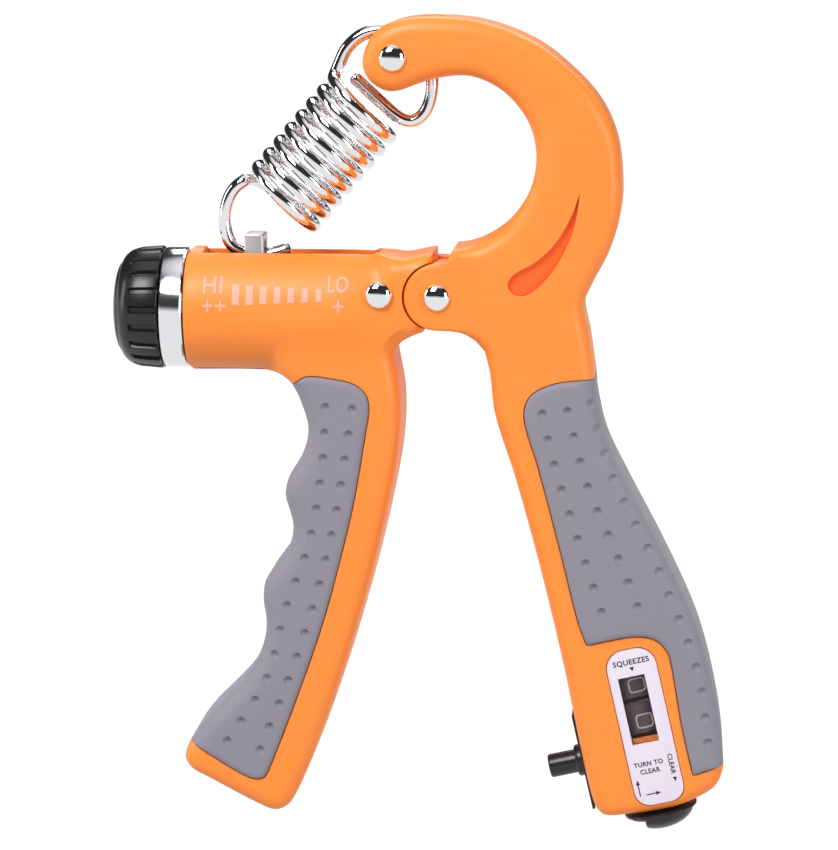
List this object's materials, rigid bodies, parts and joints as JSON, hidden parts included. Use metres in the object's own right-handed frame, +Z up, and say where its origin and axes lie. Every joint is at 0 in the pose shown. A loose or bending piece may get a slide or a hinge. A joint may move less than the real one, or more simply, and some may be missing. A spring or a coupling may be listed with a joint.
{
  "type": "hand grip strengthener",
  "caption": "Adjustable hand grip strengthener: two hinged handles with soft grips, a coil extension spring with a screw adjuster, and a press counter.",
  "frame": {"origin": "centre of the bounding box at the ground, with the handle ends down", "axes": "+Z up along the handles towards the loop, +X from the adjusting knob towards the counter's leg, +Y from the printed front to the back"},
  "size_m": [0.1226, 0.025, 0.1558],
  "materials": {
    "orange": "satin moulded plastic",
    "grey_rubber": "matte soft-touch",
    "black_plastic": "satin",
    "chrome": "bright",
    "polished_ring": "polished",
    "steel": "satin",
    "label": "satin print",
    "window": "clear",
    "digit_white": "satin with pale digits"
  },
  "bodies": {
    "frame": {"frame_arm": "orange", "right_grip": "grey_rubber", "pivot_rivet": "chrome", "loop_pin": "chrome", "label_plate": "label", "counter_window": "window", "counter_case": "black_plastic", "counter_bracket": "steel", "plunger_spring": "steel"},
    "lever": {"lever_body": "orange", "left_grip": "grey_rubber", "barrel_ring": "polished_ring", "end_plug": "black_plastic", "barrel_rivet": "chrome", "end_bush": "steel", "pivot_bush": "steel"},
    "knob": {"adjust_knob": "black_plastic", "knob_cap": "black_plastic", "screw_rod": "steel", "rod_collar": "steel"},
    "slider": {"slider_block": "chrome"},
    "sleeve": {"pin_sleeve": "steel"},
    "spring_top": {"spring_upper": "chrome"},
    "spring_foot": {"spring_lower": "chrome"},
    "plunger": {"plunger": "black_plastic"},
    "units": {"units_wheel": "digit_white"},
    "tens": {"tens_wheel": "digit_white"},
    "reset": {"counter_axle": "steel", "reset_knob": "black_plastic"}
  },
  "joints": [
    {"name": "lever_pivot", "type": "hinge", "parent": "frame", "child": "lever", "pos_m": [0.00217, 0, 0.10293], "axis": [0, -1, 0], "range_deg": [0, 27.5], "stiffness_Nm_per_rad": 34, "springref_deg": -3.44},
    {"name": "knob_turn", "type": "hinge", "parent": "lever", "child": "knob", "pos_m": [-0.04615, 0, 0.09753], "axis": [0.9991, 0, 0.0412], "range_deg": [-2232, 0]},
    {"name": "slider_travel", "type": "slide", "parent": "lever", "child": "slider", "axis": [0.9991, 0, 0.0412], "range_m": [0, 0.0124]},
    {"name": "spring_swing", "type": "hinge", "parent": "frame", "child": "sleeve", "pos_m": [-0.00809, 0, 0.14774], "axis": [0, -1, 0], "range_deg": [0, 10.12]},
    {"name": "spring_lean", "type": "hinge", "parent": "sleeve", "child": "spring_top", "pos_m": [-0.00809, 0, 0.14774], "axis": [0, -1, 0], "range_deg": [0, 14.34]},
    {"name": "spring_stretch", "type": "slide", "parent": "spring_top", "child": "spring_foot", "axis": [-0.5474, 0, -0.8369], "range_m": [0, 0.01473], "deforming": ["spring_upper", "spring_lower"]},
    {"name": "plunger_press", "type": "slide", "parent": "frame", "child": "plunger", "axis": [0.9643, 0, 0.2649], "range_m": [0, 0.0034], "stiffness_N_per_m": 400, "springref_m": -0.001, "deforming": ["plunger_spring"]},
    {"name": "units_wheel_turn", "type": "hinge", "parent": "frame", "child": "units", "pos_m": [0.04461, -0.0026, 0.02297], "axis": [0.2649, 0, -0.9643], "continuous": true},
    {"name": "tens_wheel_turn", "type": "hinge", "parent": "frame", "child": "tens", "pos_m": [0.0427, -0.0026, 0.02992], "axis": [0.2649, 0, -0.9643], "continuous": true},
    {"name": "reset_knob_turn", "type": "hinge", "parent": "frame", "child": "reset", "pos_m": [0.0497, -0.0026, 0.00446], "axis": [0.2649, 0, -0.9643], "continuous": true}
  ],
  "couplings": [
    {"joint": "slider_travel", "follows": "knob_turn", "m_per_rad": -0.00031831},
    {"joint": "spring_swing", "follows": "lever_pivot", "ratio": 0.36436},
    {"joint": "spring_lean", "follows": "knob_turn", "ratio": -0.0063815},
    {"joint": "spring_stretch", "follows": "lever_pivot", "m_per_rad": 0.030266},
    {"joint": "tens_wheel_turn", "follows": "units_wheel_turn", "ratio": 0.1}
  ]
}
